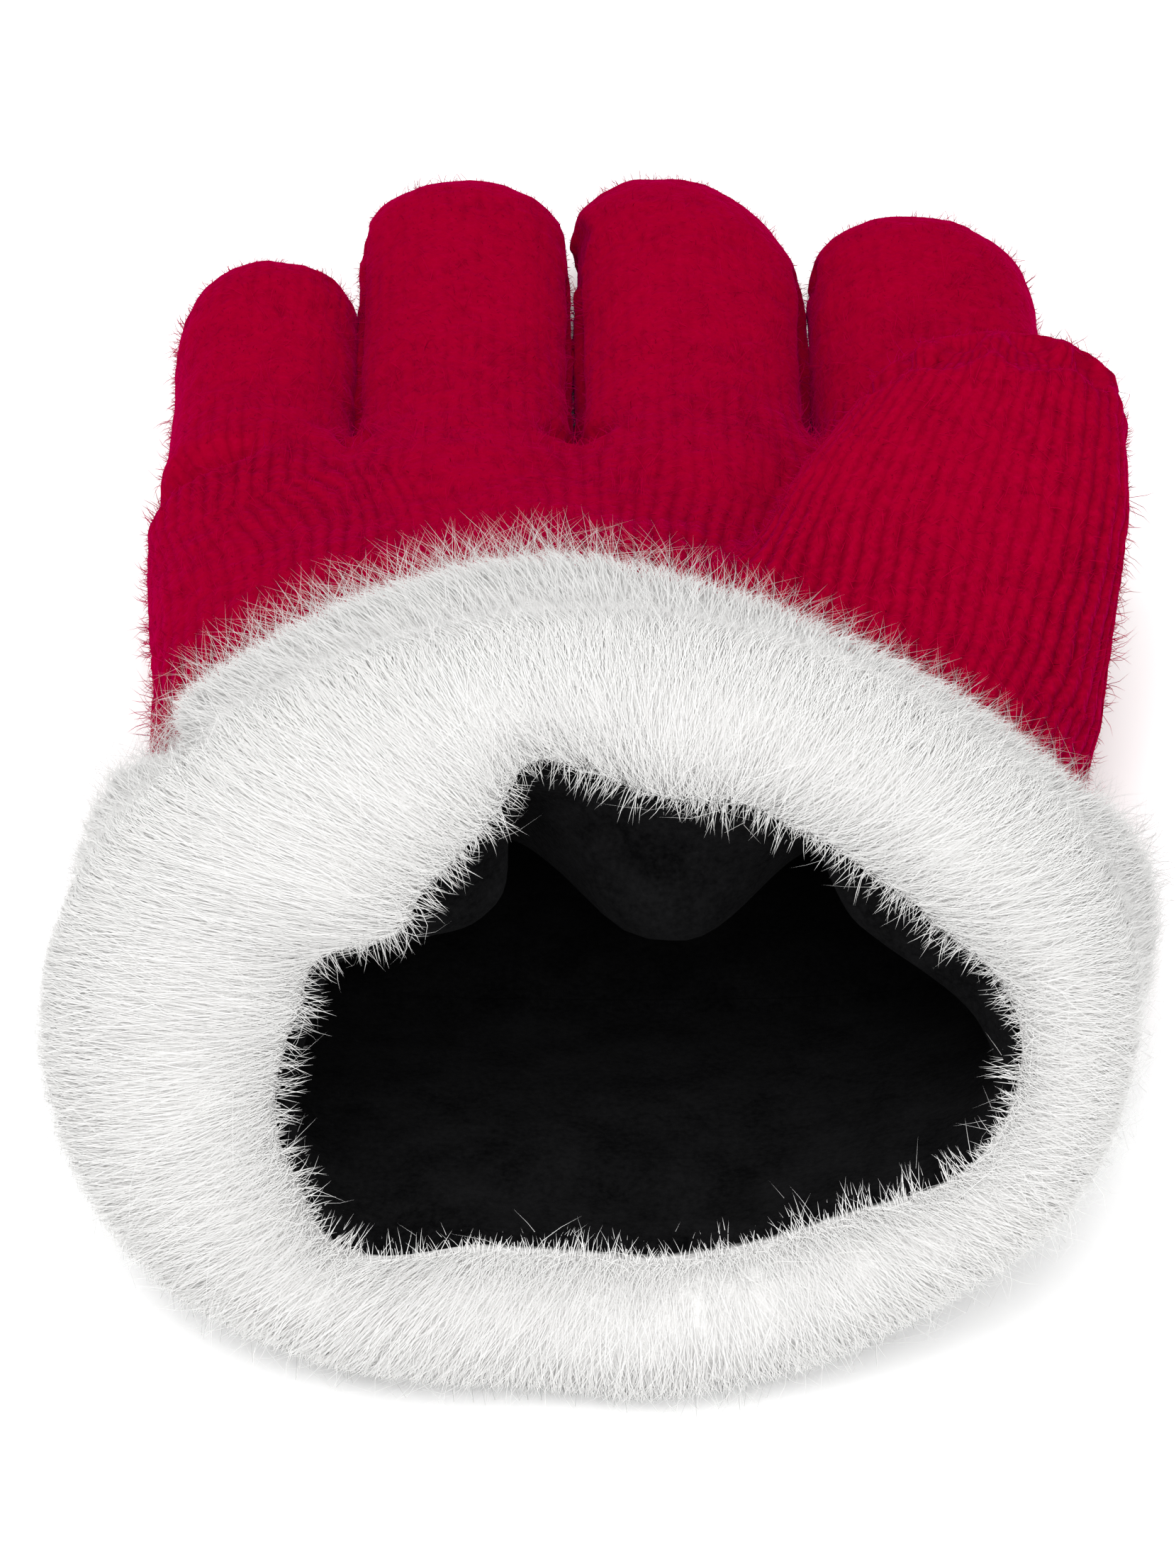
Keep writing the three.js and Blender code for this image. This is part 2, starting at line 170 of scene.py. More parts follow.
def with_modifiers(mesh, *settings, groups=None):
    """A new mesh with each modifier (kind, {property: value}) baked in; groups: {name: [(weight, mask)]}."""
    holder = bpy.data.objects.new("holder", mesh)
    link(holder)
    for name, levels in (groups or {}).items():
        group = holder.vertex_groups.new(name=name)
        for weight, mask in levels:
            group.add(np.flatnonzero(mask).tolist(), weight, "REPLACE")
    for kind, values in settings:
        modifier = holder.modifiers.new(kind.lower(), kind)
        for key, value in values.items():
            setattr(modifier, key, value)
    graph = bpy.context.evaluated_depsgraph_get()
    baked = bpy.data.meshes.new_from_object(holder.evaluated_get(graph))
    bpy.data.objects.remove(holder)
    return baked


def finished(bm, name):
    """The mesh of a bmesh that is done."""
    mesh = bpy.data.meshes.new(name)
    bm.to_mesh(mesh)
    bm.free()
    return mesh


def merged_copy(node):
    """A copy of a CAD node's mesh whose loose triangles are joined."""
    bm = bmesh.new()
    bm.from_mesh(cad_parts[node].data)
    bmesh.ops.remove_doubles(bm, verts=bm.verts, dist=1e-6)
    return finished(bm, node + "_copy")


def vertex_array(mesh, what="co"):
    values = np.empty(len(mesh.vertices) * 3)
    mesh.vertices.foreach_get(what, values)
    return values.reshape(-1, 3)


def store(mesh, name, values):
    """A number on each point of the mesh, which a material can read by its name."""
    mesh.attributes.new(name, "FLOAT", "POINT").data.foreach_set("value", np.asarray(values, np.float32))


# %% [markdown]
# ## The forms of the hand
# Each stall is a rounded oblong that changes along Y and closes in a round tip. For any point, a form gives
# how far the point lies outside its skin (negative inside), and where it is on the clock around the stall.
# The clock is what a knitter would call the number of the wale, the column of stitches.

# %% Distance to the palm, a finger and the thumb
def section_ratio(dx, dz, half, up, down, squareness):
    """How large a point's section is, 1 on the skin, and how fast that grows per millimetre."""
    rise = np.where(dz > 0, up, down)
    across, high = np.abs(dx / half), np.abs(dz / rise)
    ratio = np.maximum((across**squareness + high**squareness) ** (1 / squareness), 1e-3)
    power = squareness - 1
    growth = np.hypot((across / ratio) ** power / half, (high / ratio) ** power / rise)
    return ratio, growth


def section_clock(dx, dz, half, up, down, squareness):
    across = np.sign(dx) * np.abs(dx / half) ** (squareness / 2)
    rise = np.sign(dz) * np.abs(dz / np.where(dz > 0, up, down)) ** (squareness / 2)
    return np.degrees(np.arctan2(rise, across)) % 360


TIP_ROUNDNESS = 2.1


def rounded(ratio, growth, beyond, tip_length):
    """Distance outside a form, from its section's ratio and how far along its tip the point lies."""
    whole = (ratio**TIP_ROUNDNESS + beyond**TIP_ROUNDNESS) ** (1 / TIP_ROUNDNESS)
    power = TIP_ROUNDNESS - 1
    slope = np.hypot(growth * (ratio / whole) ** power, (beyond / whole) ** power / tip_length)
    return (whole - 1) / np.maximum(slope, 1e-3)


def stall(dx, dz, sides, squareness, beyond, tip_length):
    """Distance to a form and clock round it, from the place in its section and the way past its shoulder."""
    ratio, growth = section_ratio(dx, dz, *sides, squareness)
    return rounded(ratio, growth, beyond, tip_length), section_clock(dx, dz, *sides, squareness)


def squared(value, squareness):
    """The sine or cosine of a clock angle, for a rounded oblong in place of a circle."""
    return np.sign(value) * np.abs(value) ** (2 / squareness)


PALM_SHOULDER = 38
PALM_END_LENGTH = 13.5


def palm_form(p):
    y = np.minimum(p[:, 1], PALM_SHOULDER)
    columns = ("x", "z", "half", "up", "down", "pressed")
    x, z, half, up, down, pressed = (from_rows(PALM, column, y) for column in columns)
    dx = p[:, 0] - x
    dz = p[:, 2] - z
    dz = dz + pressed * np.maximum(dx, 0) * np.clip(dz / up, 0, 1)
    beyond = np.maximum(p[:, 1] - PALM_SHOULDER, 0) / PALM_END_LENGTH
    distance, clock = stall(dx, dz, (half, up, down), PALM_SQUARENESS, beyond, PALM_END_LENGTH)
    return distance, clock, np.ones(len(p))


KNUCKLE_RISE = 5.5  # how much higher the knitted fingers leave the palm than their solids
FINGER_ROOT_Y = 42
FINGER_BACK_Y = 12  # inside the palm


def finger_form(p, finger, rise=KNUCKLE_RISE):
    tip_length = finger["tip_length"]
    shoulder_y = finger["end"] - tip_length
    beyond = np.maximum(p[:, 1] - shoulder_y, 0) / tip_length
    bends = [finger[key] for key in ("root", "shoulder", "tip")]
    x = np.interp(p[:, 1], (FINGER_ROOT_Y, shoulder_y, finger["end"]), bends)
    size = np.interp(p[:, 1], (10, 34), (0.62, 1.0))
    knuckle = softened(p[:, 1], (24, 60), (rise, 0), (-8, -4, 0, 4, 8))
    dx, dz = p[:, 0] - x, p[:, 2] - finger["high"] * FINGER_MIDDLE - knuckle
    sides = (finger["half"] * size, finger["high"] * FINGER_UP * size, finger["high"] * FINGER_DOWN * size)
    distance, clock = stall(dx, dz, sides, FINGER_SQUARENESS, beyond, tip_length)
    return np.maximum(distance, FINGER_BACK_Y - p[:, 1]), clock, 1 - beyond**3


THUMB_LIFT = 1.3  # the knitted thumb stands a little higher and longer than its solid
THUMB_LONGER = 0.4
THUMB_BACK_Y = -34


def thumb_form(p, lift=THUMB_LIFT, longer=THUMB_LONGER):
    x, z, half, high = (from_rows(THUMB, c, p[:, 1]) for c in ("x", "z", "half", "high"))
    z = z + lift * np.interp(p[:, 1], (-6, 34), (0, 1))
    beyond = np.maximum(p[:, 1] - THUMB_SHOULDER - longer, 0) / THUMB_TIP_LENGTH
    dx, dz = p[:, 0] - x, p[:, 2] - z
    sides = (half, high / 2, high / 2)
    distance, clock = stall(dx, dz, sides, FINGER_SQUARENESS, beyond, THUMB_TIP_LENGTH)
    return np.maximum(distance, THUMB_BACK_Y - p[:, 1]), clock, 1 - beyond**3


def soft_union(a, b, reach):
    """The nearer of two distances, with the valley between the forms filled over the reach."""
    share = np.maximum(reach - np.abs(a - b), 0) / reach
    return np.minimum(a, b) - share**2 * reach / 4


def hand_forms(p):
    """Distances, clocks and fullness of palm, fingers and thumb, and the distance to the whole hand."""
    forms = [palm_form(p), *(finger_form(p, finger) for finger in FINGERS), thumb_form(p)]
    distances, clocks, fullness = (np.array(values) for values in zip(*forms))
    reach = softened(p[:, 1], (36, 50), (9.0, 2.5), (-4, 0, 4))
    fingers = np.min([soft_union(distances[0], d, reach) for d in distances[1:5]], axis=0)
    whole = soft_union(fingers, distances[5], np.interp(p[:, 1], (0, 30), (8.0, 2.0)))
    return distances, clocks, fullness, whole


# %% [markdown]
# ## The knitted hand
# A knitted hand is one soft tube that branches: nowhere a sharp edge, and a rounded fork between stalls. A
# voxel remesh of a merged copy of the solid gives an even skin of small faces. Each point of the outside is
# then drawn on to the smooth forms, a short step at a time along their slope, so that points near a fork
# spread out instead of bunching. The plain forms, without raised knuckles, tell outside from inside.

# %% An even skin on smooth forms
KNIT_VOXEL = 0.00068
KNIT_TRIANGLES = 190000
OUTSIDE_LIMIT = -1.2
SLOPE_STEP = 0.3
LONGEST_STEP = 1.0
DRAW_ROUNDS = 6

skin = with_modifiers(
    merged_copy("knit_hand"),
    ("REMESH", {"mode": "VOXEL", "voxel_size": KNIT_VOXEL}),
    ("SMOOTH", {"iterations": 16}),
)


def is_outside(p):
    """Whether a point of the solid's skin lies on its outside and not on the wall's inner face."""
    plain = [palm_form(p)[0], *(finger_form(p, finger, 0)[0] for finger in FINGERS), thumb_form(p, 0, 0)[0]]
    return np.min(plain, axis=0) > OUTSIDE_LIMIT


def slope_of(p, distance):
    """The direction in which the distance grows fastest, and how fast."""
    ahead = [hand_forms(p + SLOPE_STEP * axis)[3] for axis in np.eye(3)]
    return (np.array(ahead).T - distance[:, None]) / SLOPE_STEP


def drawn_on_to_forms(mesh, rounds):
    """Moves the outside of the skin on to the smooth hand; returns which points are outside."""
    places = millimetres(vertex_array(mesh))
    outside = is_outside(places)
    drawn = places[outside]
    for _ in range(rounds):
        distance = hand_forms(drawn)[3]
        slope = slope_of(drawn, distance)
        size = np.maximum((slope**2).sum(axis=1, keepdims=True), 0.2)
        drawn -= np.clip(distance[:, None] * slope / size, -LONGEST_STEP, LONGEST_STEP)
    places[outside] = drawn
    places[:, 2] = np.maximum(places[:, 2], 0)
    mesh.vertices.foreach_set("co", metres(places).ravel())
    mesh.update()
    return outside


outside = drawn_on_to_forms(skin, DRAW_ROUNDS)
places = millimetres(vertex_array(skin))
print("skin", len(skin.polygons), "faces,", round(outside.mean(), 2), "outside")

# %% [markdown]
# Where the fingers leave the palm, padding rounds the cloth over. A Smooth modifier that is strongest on the
# knuckles, and weak on the thumb, does the same. Where no one looks, inside, below and under the cuff,
# Decimate thins the faces, which keeps the piece light.

# %% Blending the knuckles and thinning the faces that do not show
UNDER_CUFF_Y = -46
UNDERSIDE_Z = 2.5
LEVELS = 5  # of strength, in the group of the knuckles
ON_THUMB = 3  # millimetres from the thumb's form

seen = outside & (places[:, 1] > UNDER_CUFF_Y) & (places[:, 2] > UNDERSIDE_Z)
on_thumb = hand_forms(places)[0][5] < ON_THUMB
strength = np.interp(places[:, 1], (4, 22, 52, 72), (0, LEVELS, LEVELS, 0)) * ~on_thumb
strength += np.interp(places[:, 1], (14, 30), (0, 2)) * on_thumb
strength = np.round(strength * outside)
groups = {"unseen": [(1.0, ~seen)], "knuckles": [(n / LEVELS, strength == n) for n in range(1, LEVELS + 1)]}
knit = with_modifiers(
    skin,
    ("SMOOTH", {"iterations": 4}),
    ("SMOOTH", {"iterations": 40, "vertex_group": "knuckles"}),
    ("DECIMATE", {"vertex_group": "unseen", "ratio": min(1, KNIT_TRIANGLES / (2 * len(skin.polygons)))}),
    groups=groups,
)
print("knit", len(knit.polygons), "faces, unseen points before", int((~seen).sum()), "of", len(seen))

# %% [markdown]
# The wales run along each stall. The clock is turned into a count of wales with the arc length of a middle
# section, so that they are evenly wide round a squarish form. The same count goes into a UV map for the
# material, face by face: a face that spans the end of the count takes the count on, so no seam shows.

# %% Wales
WALE_WIDTH = 2.1
COURSE_HEIGHT = 1.6
RIB_HEIGHT = 0.15
REFERENCE_SECTIONS = [  # half width, rise, fall and squareness in the middle of palm, fingers and thumb
    (56.8, 17.0, 17.0, PALM_SQUARENESS),
    *((f["half"], f["high"] * FINGER_UP, f["high"] * FINGER_DOWN, FINGER_SQUARENESS) for f in FINGERS),
    (21.5, 12.0, 12.0, FINGER_SQUARENESS),
]
NEARNESS_REACH = 1.4  # over which one form's ribs give way to the next one's
SAGS = ((0.30, 9.0, 11), (0.20, 3.1, 12), (0.10, 1.6, 14))  # height, size and seed of the uneven yarn


def wale_counter(half, up, down, squareness):
    """The clock angles and counts of wales round a section, and how many wales it has."""
    clock = np.linspace(0, 360, 721)
    turn = np.radians(clock)
    x = squared(np.cos(turn), squareness) * half
    z = squared(np.sin(turn), squareness) * np.where(turn < math.pi, up, down)
    length = np.concatenate(([0], np.cumsum(np.hypot(np.diff(x), np.diff(z)))))
    count = round(length[-1] / WALE_WIDTH)
    return clock, length / length[-1] * count, count


COUNTERS = [wale_counter(*section) for section in REFERENCE_SECTIONS]
WALE_COUNTS = np.array([count for _, _, count in COUNTERS])
print("wales round palm, little, ring, middle, index, thumb:", WALE_COUNTS.tolist())


def wales_of(p, clocks):
    """The count of wales of each point on each form; the fingers' counts meet the palm's on top."""
    wales = np.array([np.interp(clock, c[0], c[1]) for clock, c in zip(clocks, COUNTERS)])
    roots = np.array([(f["root"], 24.0, 40.0) for f in FINGERS])
    palm_clock = palm_form(roots)[1]
    meeting = np.interp(palm_clock, COUNTERS[0][0], COUNTERS[0][1])
    for number, counter in enumerate(COUNTERS[1:5], 1):
        wales[number] += meeting[number - 1] - np.interp(90, counter[0], counter[1])
    return wales


places = millimetres(vertex_array(knit))
normals = vertex_array(knit, "normal")
distances, clocks, fullness, whole = hand_forms(places)
outside = whole > OUTSIDE_LIMIT
wales = wales_of(places, clocks)
nearness = np.exp(-np.clip(distances, -6, 12) / NEARNESS_REACH)
nearness /= nearness.sum(axis=0)
ribbing = np.clip((nearness * np.clip(fullness, 0, 1)).sum(axis=0), 0, 1)
rib = (nearness * np.cos(2 * math.pi * wales)).sum(axis=0)
seen = outside & (places[:, 1] > UNDER_CUFF_Y)
rib_strength = np.clip(0.62 + 0.55 * soft_noise(places, 16.0, 13) - places[:, 1] / 130, 0.15, 1)
lift = RIB_HEIGHT * rib_strength * rib * ribbing * np.clip(places[:, 2] / 4, 0, 1)
lift += sum(high * soft_noise(places, size, seed) for high, size, seed in SAGS)
places += normals * (lift * seen)[:, None]
places[:, 2] = np.maximum(places[:, 2], 0)
knit.vertices.foreach_set("co", metres(places).ravel())
knit.update()
# The ribbing share also sets how much painted shade the knit's shader puts in the grooves.
store(knit, "ribbing", ribbing * rib_strength)

# %% The wales' UV map
owner = np.argmin(distances, axis=0)
corner_vertex = np.empty(len(knit.loops), int)
knit.loops.foreach_get("vertex_index", corner_vertex)
face_start = np.empty(len(knit.polygons), int)
face_total = np.empty(len(knit.polygons), int)
knit.polygons.foreach_get("loop_start", face_start)
knit.polygons.foreach_get("loop_total", face_total)
first_corner = np.repeat(face_start, face_total)
form = owner[corner_vertex[first_corner]]
u = wales[form, corner_vertex]
u_first = wales[form, corner_vertex[first_corner]]
around = WALE_COUNTS[form]
u = u_first + (u - u_first + around / 2) % around - around / 2
v = places[corner_vertex, 1] / COURSE_HEIGHT
for layer in list(knit.uv_layers):
    knit.uv_layers.remove(layer)
knit.uv_layers.new(name="wales").data.foreach_set("uv", np.column_stack((u, v)).ravel())
print("ribs raised on", int(seen.sum()), "of", len(places), "points")

# %% [markdown]
# ## Knit material
# Brushed yarn: deep red with a crimson bloom where the surface turns away. The shader counts wales and
# courses in the UV map, paints shade into the grooves, slants the stitches into small V shapes and blurs
# all of it with the noise of the nap. Sheen gives the bloom, as short fibres do.

# %% A few helpers for node trees
def new_material(name, **values):
    """A material with a Principled shader; values are set on the shader's own sockets."""
    material = bpy.data.materials.new(name)
    material.use_nodes = True
    tree = material.node_tree
    shader = tree.nodes["Principled BSDF"]
    for key, value in values.items():
        shader.inputs[key.replace("_", " ")].default_value = value
    return material, tree, shader


def add_node(tree, kind, inputs=(), **settings):
    """A node with its settings; inputs are numbers, or sockets to be linked."""
    made = tree.nodes.new("ShaderNode" + kind)
    for key, value in settings.items():
        setattr(made, key, value)
    for socket, value in dict(inputs).items():
        if isinstance(value, bpy.types.NodeSocket):
            tree.links.new(value, made.inputs[socket])
        else:
            made.inputs[socket].default_value = value
    return made


def math_node(tree, operation, *values):
    return add_node(tree, "Math", dict(enumerate(values)), operation=operation).outputs[0]


def mixed(tree, share, first, second):
    """A colour between two colours."""
    return add_node(tree, "Mix", {0: share, 6: first, 7: second}, data_type="RGBA").outputs[2]


def noise(tree, scale, detail):
    place = add_node(tree, "TexCoord").outputs["Object"]
    inputs = {"Vector": place, "Scale": scale, "Detail": detail, "Roughness": 0.6}
    return add_node(tree, "TexNoise", inputs).outputs[0]


def stretched(tree, value, low, high, to_low=0.0, to_high=1.0):
    inputs = {"Value": value, "From Min": low, "From Max": high, "To Min": to_low, "To Max": to_high}
    return add_node(tree, "MapRange", inputs).outputs[0]


def coloured(tree, shader, colour):
    tree.links.new(colour, shader.inputs["Base Color"])


def bumped(tree, shader, height, distance, strength):
    inputs = {"Height": height, "Distance": distance, "Strength": strength}
    tree.links.new(add_node(tree, "Bump", inputs).outputs[0], shader.inputs["Normal"])


# %% Knit
KNIT_RED = (0.235, 0.0, 0.0135, 1)
# The next colour is painted shade for the grooves between the wales, and the dark end of the tufts' random
# tone.
KNIT_DEEP_AND_GROOVE_SHADE = (0.075, 0.0, 0.0042, 1)
KNIT_BLOOM = (0.290, 0.0, 0.0240, 1)

knit_material, tree, shader = new_material(
    "brushed red knit",
    Roughness=0.95,
    Sheen_Weight=0.22,
    Sheen_Roughness=0.35,
    Sheen_Tint=(1.0, 0.0, 0.22, 1),
    Specular_IOR_Level=0.0,
)
count = add_node(tree, "SeparateXYZ", {0: add_node(tree, "UVMap", uv_map="wales").outputs[0]})
wale, course = count.outputs[0], count.outputs[1]
ribbed = add_node(tree, "Attribute", attribute_name="ribbing").outputs["Fac"]
wobble = math_node(tree, "MULTIPLY_ADD", noise(tree, 200, 1), 0.5, -0.25)
wale = math_node(tree, "ADD", wale, wobble)
wave = math_node(tree, "COSINE", math_node(tree, "MULTIPLY", wale, math.tau))
ridge = math_node(tree, "POWER", math_node(tree, "MULTIPLY_ADD", wave, 0.5, 0.5), 0.45)
side = math_node(tree, "ABSOLUTE", math_node(tree, "SUBTRACT", math_node(tree, "FRACT", wale), 0.5))
slant = math_node(tree, "MULTIPLY_ADD", side, -1.2, course)
stitch = math_node(tree, "COSINE", math_node(tree, "MULTIPLY", slant, math.tau))
stitch = math_node(tree, "MULTIPLY_ADD", stitch, 0.5, 0.5)
nap = noise(tree, 1100, 3)
tufts = noise(tree, 330, 3)
patches = noise(tree, 90, 2)
crossed = math_node(tree, "MULTIPLY", ridge, stitch)
stitched = math_node(tree, "MULTIPLY_ADD", crossed, 0.25, math_node(tree, "MULTIPLY", ridge, 0.75))
worn_down = stretched(tree, patches, 0.35, 0.65, 1.0, 0.45)
yarn = math_node(tree, "MULTIPLY", stitched, math_node(tree, "MULTIPLY", ribbed, worn_down))
height = math_node(tree, "ADD", yarn, math_node(tree, "MULTIPLY", nap, 0.5))
height = math_node(tree, "ADD", height, math_node(tree, "MULTIPLY", tufts, 0.9))
# Painted shade: the grooves between the wales are darkened in the colour.
groove_shade = math_node(tree, "MULTIPLY", math_node(tree, "SUBTRACT", 1.0, stitched), ribbed)
tuft_tone_and_groove_shade = math_node(tree, "MULTIPLY_ADD", groove_shade, -0.62, stretched(tree, tufts, 0.3, 0.7, 0.68, 0.96))
colour = mixed(tree, stretched(tree, tuft_tone_and_groove_shade, 0.0, 0.8), KNIT_DEEP_AND_GROOVE_SHADE, KNIT_RED)
colour = mixed(tree, stretched(tree, nap, 0.5, 0.8, 0.0, 0.6), colour, KNIT_BLOOM)
coloured(tree, shader, colour)
bumped(tree, shader, height, 0.0007, 0.7)
add_piece("knitted_hand", knit, "knit_hand", knit_material)

# %% [markdown]
# ## Strands
# Fuzz and fur are far too many strands to shape by hand, and no operator lays them, so their points are
# worked out together with numpy. A strand is a narrow ribbon: quads that taper along it and one triangle at
# the tip. Its shading normals lean towards the normal of the coat that it grows from, so that thousands
# of strands catch the light as one soft mass. Every ribbon shows its face to the front, because a strand
# seen from behind would catch no light.

# %% Ribbons from curves
def ribbon_mesh(name, lines, widths, sideways, coat_normals, shades, own):
    """Ribbons along lines, (count, points, 3) in millimetres; own is the share of their own normals."""
    count, points, _ = lines.shape
    taper = np.linspace(1, 0, points) ** 0.7
    taper[0] = 0.8
    offset = sideways[:, None, :] * (widths[:, None] * taper[None, :] / 2)[:, :, None]
    left, right = lines - offset, lines + offset
    per_strand = 2 * points - 1
    places = np.empty((count, per_strand, 3))
    places[:, 0:-1:2] = left[:, :-1]
    places[:, 1:-1:2] = right[:, :-1]
    places[:, -1] = lines[:, -1]
    corners = [c for k in range(points - 2) for c in (2 * k, 2 * k + 1, 2 * k + 3, 2 * k + 2)]
    corners += [per_strand - 3, per_strand - 2, per_strand - 1]
    totals = [4] * (points - 2) + [3]
    index = (np.array(corners)[None, :] + per_strand * np.arange(count)[:, None]).ravel()
    sizes = np.tile(totals, count)
    mesh = bpy.data.meshes.new(name)
    mesh.vertices.add(count * per_strand)
    mesh.vertices.foreach_set("co", metres(places.reshape(-1, 3)).ravel())
    mesh.loops.add(len(index))
    mesh.loops.foreach_set("vertex_index", index)
    mesh.polygons.add(len(sizes))
    mesh.polygons.foreach_set("loop_start", np.concatenate(([0], np.cumsum(sizes)[:-1])))
    mesh.update(calc_edges=True)
    store(mesh, "shade", np.repeat(shades, per_strand))
    along = np.append(np.repeat(np.linspace(0, 1, points)[:-1], 2), 1.0)
    store(mesh, "along", np.tile(along, count))
    mesh.shade_smooth()
    faces = vertex_array(mesh, "normal").reshape(count, per_strand, 3)
    blend = faces * own + coat_normals[:, None, :] * (1 - own)
    blend /= np.maximum(np.linalg.norm(blend, axis=2, keepdims=True), 1e-6)
    mesh.normals_split_custom_set_from_vertices(blend.reshape(-1, 3).tolist())
    return mesh


def unit(vectors):
    return vectors / np.maximum(np.linalg.norm(vectors, axis=-1, keepdims=True), 1e-9)


# %% [markdown]
# ## Fuzz on the knit
# The brushed yarn stands up in a soft down, longer in tufts, that blurs the outline of the hand. Each fibre
# starts at a random place on the skin. A noise sets its length, so that tufts and bare places alternate.
# A second noise swirls the nap, so that fibres near each other lie the same way.

# %% Fuzz
FUZZ_COUNT = 26000
FUZZ_LENGTH = (1.2, 4.8)
FUZZ_WIDTH = 0.11
FUZZ_FROM_Y = -40
FUZZ_FROM_Z = 0.6
ROOT_DEPTH = 0.15
FRONT_AND_UP = np.array((0, -0.7, 0.6))

draw = np.random.default_rng(21)
knit.calc_loop_triangles()
triangles = np.empty(len(knit.loop_triangles) * 3, int)
knit.loop_triangles.foreach_get("vertices", triangles)
triangles = triangles.reshape(-1, 3)
corners = millimetres(vertex_array(knit))[triangles]
cross = np.cross(corners[:, 1] - corners[:, 0], corners[:, 2] - corners[:, 0])
area = np.linalg.norm(cross, axis=1)
middle = corners.mean(axis=1)
shown = seen[triangles].all(axis=1) & (middle[:, 2] > FUZZ_FROM_Z) & (middle[:, 1] > FUZZ_FROM_Y)
weight = area * shown
picked = draw.choice(len(triangles), FUZZ_COUNT, p=weight / weight.sum())
shares = draw.dirichlet((1, 1, 1), FUZZ_COUNT)
roots = (corners[picked] * shares[:, :, None]).sum(axis=1)
out = unit(cross[picked])
tuft = np.clip(0.5 + 0.9 * soft_noise(roots, 4.2, 22) + 0.3 * soft_noise(roots, 1.7, 23), 0, 1)
length = FUZZ_LENGTH[0] + (FUZZ_LENGTH[1] - FUZZ_LENGTH[0]) * tuft**2 * draw.random(FUZZ_COUNT) ** 0.6
swirl = np.column_stack([soft_noise(roots, 6.0, seed) for seed in (24, 25, 26)])
length *= np.interp(roots[:, 1], (55, 95), (1.0, 0.6))
lean = unit(draw.normal(size=(FUZZ_COUNT, 3)) * 0.8 + swirl * 1.6 + np.array((0, 0.35, 0)))
lean = unit(lean - out * (lean * out).sum(axis=1, keepdims=True))
rise = draw.uniform(0.1, 1.0, FUZZ_COUNT)[:, None] ** 1.5
start_way = unit(out * (rise + 0.3) + lean * (1 - rise) * 0.8)
end_way = unit(out * rise + lean * 1.2)
steps = np.array((0, 0.55, 1.0))[None, :, None]
lines = roots[:, None] - out[:, None] * ROOT_DEPTH + length[:, None, None] * (
    start_way[:, None] * steps + (end_way - start_way)[:, None] * steps**2 / 2
)
lines[:, :, 2] = np.maximum(lines[:, :, 2], 0.1)
facing = unit(draw.normal(size=(FUZZ_COUNT, 3)) * 0.2 + out + FRONT_AND_UP)
sideways = unit(np.cross(start_way, facing))
widths = np.full(FUZZ_COUNT, FUZZ_WIDTH)
fuzz = ribbon_mesh("fuzz", lines, widths, sideways, out, draw.random(FUZZ_COUNT), own=0)

DOWN_DEEP = (0.18, 0.0, 0.010, 1)
DOWN_RED = (0.31, 0.0, 0.024, 1)
fuzz_material, tree, shader = new_material(
    "red down",
    Roughness=0.9,
    Sheen_Weight=0.30,
    Sheen_Roughness=0.4,
    Sheen_Tint=(1.0, 0.0, 0.20, 1),
    Specular_IOR_Level=0.0,
)
shade = add_node(tree, "Attribute", attribute_name="shade").outputs["Fac"]
coloured(tree, shader, mixed(tree, shade, DOWN_DEEP, DOWN_RED))
add_piece("knit_fuzz", fuzz, "knit_hand", fuzz_material)

# %% [markdown]
# ## The form of the cuff
# The mouth is an outline on a clock face that leans back. Its fur rolls over a lip, from the opening (way
# -1) over the crest (0) and back to the hem on the knit (1), in two bands that meet in a crease.

# %% Sizes of the cuff
MOUTH_MIDDLE = np.array((7.8, -85.4, 37.1))
MOUTH_LEAN = math.radians(33)
MOUTH_UP = np.array((0, math.sin(MOUTH_LEAN), math.cos(MOUTH_LEAN)))
MOUTH_IN = np.array((0, math.cos(MOUTH_LEAN), -math.sin(MOUTH_LEAN)))
OPENING = np.array((39, 31, 26.8, 25.4, 24.8, 30.3, 28, 30.5, 39.5, 43, 33.5, 27.2, 26, 26.4, 29.5, 38))
ROLL = np.array((53, 51.5, 47, 44.5, 44.5, 47.5, 54, 63, 69, 65, 54, 44.5, 42.5, 42.5, 45, 51))
LIP_DEPTH = 10.5
LIP_LENGTH = 30.0  # along the face from the opening over the lip to the crest
COAT_LENGTH = 56.0  # and from the crest to the hem
BANDS = {
    "way": (0, 0.13, 0.26, 0.36, 0.44, 0.66, 0.86, 1.0),
    "proud": (0, 0.5, -0.6, -6.5, -1.0, 2.5, 1.5, -1.5),
}
HEM = dict(x=4.2, z=20, half=60.5, up=23.0, down=20.0)
HEM_Y = -9.8  # where the hem reaches furthest over the hand
HEM_PEAK = -0.13  # and that place across, as a share of the half width
HEM_BACK_LEFT, HEM_BACK_RIGHT, HEM_FURTHEST = 33, 37, 36  # how far it falls back at the sides
SIDE_SEAM = {"clock": 152, "spread": 8, "depth": 4.5}
LIP_TUCKS = [(217, 15, 5.0), (159, 9, -1.6), (170, 8, 2.2), (116, 9, 1.2)]  # clock, spread and depth


def around_clock(column, clock):
    """A column of the mouth's outline at any clock angle, on a smooth closed curve."""
    place = (clock % 360) / (360 / len(column))
    first = np.floor(place).astype(int)
    s = place - first
    before, start, end, after = (column[(first + k) % len(column)] for k in (-1, 0, 1, 2))
    return (
        start * (1 + 2 * s) * (1 - s) ** 2
        + (end - before) / 2 * s * (1 - s) ** 2
        + end * s**2 * (3 - 2 * s)
        - (after - start) / 2 * s**2 * (1 - s)
    )


